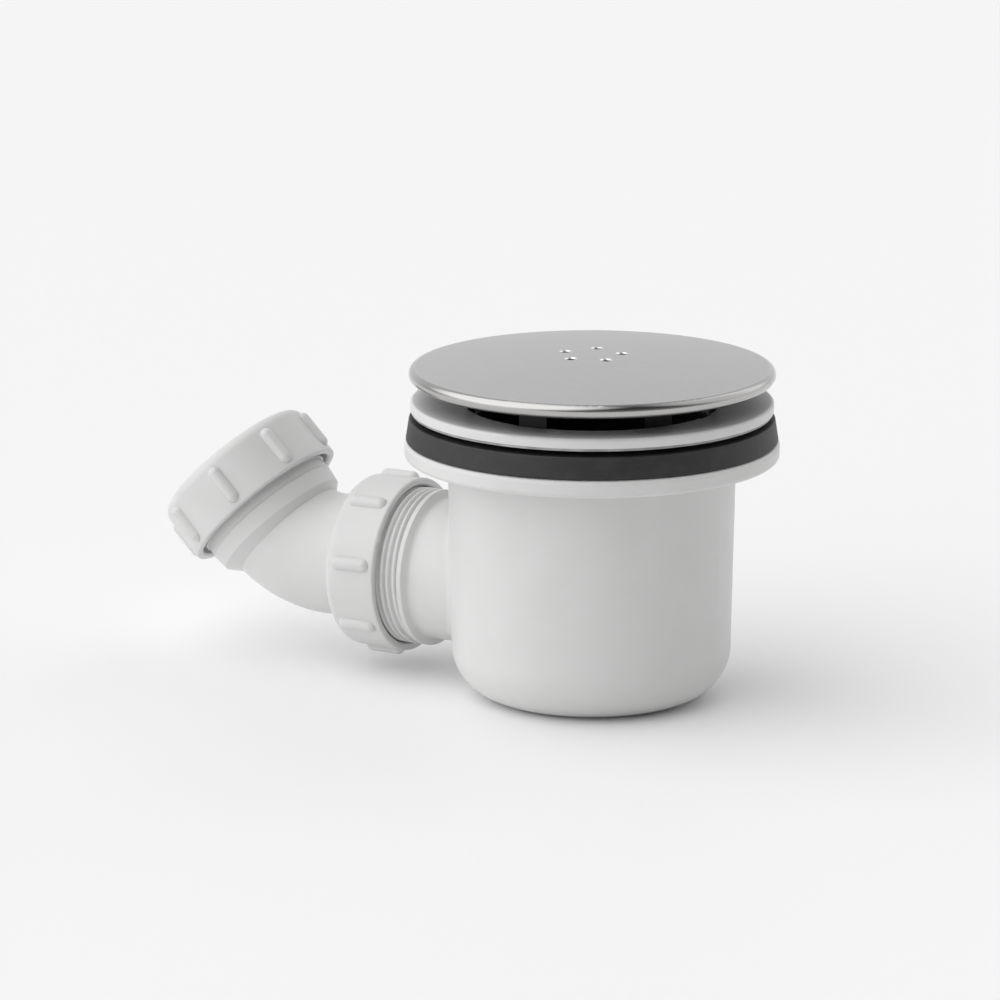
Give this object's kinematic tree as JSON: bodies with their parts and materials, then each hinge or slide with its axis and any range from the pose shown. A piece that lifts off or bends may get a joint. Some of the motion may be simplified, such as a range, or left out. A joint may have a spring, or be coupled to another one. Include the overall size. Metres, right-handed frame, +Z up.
{
  "type": "shower trap",
  "caption": "Round shower trap with a domed metal cap over a dished flange, a rubber tray seal, a tapered white body and a side outlet with ribbed nuts and an angled elbow.",
  "frame": {"origin": "centre of the base, on the surface the trap stands on", "axes": "+Z up along the trap's axis, the outlet leaves along -X, +Y is to the back"},
  "size_m": [0.2088, 0.117, 0.1087],
  "materials": {
    "cap_steel": "satin top, polished rim",
    "white_plastic": "moulded, low gloss",
    "black_plastic": "moulded, matt",
    "black_rubber": "moulded, dull",
    "grey_washer": "soft, dull"
  },
  "bodies": {
    "trap": {"trap_body": "white_plastic", "tray_seal": "black_rubber", "top_flange": "white_plastic", "flange_washer": "grey_washer", "dip_tube": "black_plastic", "dip_ring": "black_rubber", "water_cup": "white_plastic", "union_washer": "black_rubber"},
    "cap": {"cap": "cap_steel", "cap_carrier": "black_plastic"},
    "union_nut": {"union_nut": "white_plastic"},
    "elbow": {"elbow": "white_plastic", "cone_seal": "black_rubber", "slip_ring": "white_plastic"},
    "pipe_nut": {"pipe_nut": "white_plastic"}
  },
  "joints": [
    {"name": "cap_lift", "type": "slide", "parent": "trap", "child": "cap", "axis": [0, 0, 1], "range_m": [0, 0.0086]},
    {"name": "elbow_swivel", "type": "hinge", "parent": "trap", "child": "elbow", "pos_m": [-0.0757, 0, 0.0336], "axis": [-1, 0, 0], "continuous": true},
    {"name": "union_nut_turn", "type": "hinge", "parent": "trap", "child": "union_nut", "pos_m": [-0.0757, 0, 0.0336], "axis": [-1, 0, 0], "continuous": true},
    {"name": "pipe_nut_turn", "type": "hinge", "parent": "elbow", "child": "pipe_nut", "pos_m": [-0.12703, 0, 0.05453], "axis": [-0.7071, 0, 0.7071], "continuous": true}
  ]
}
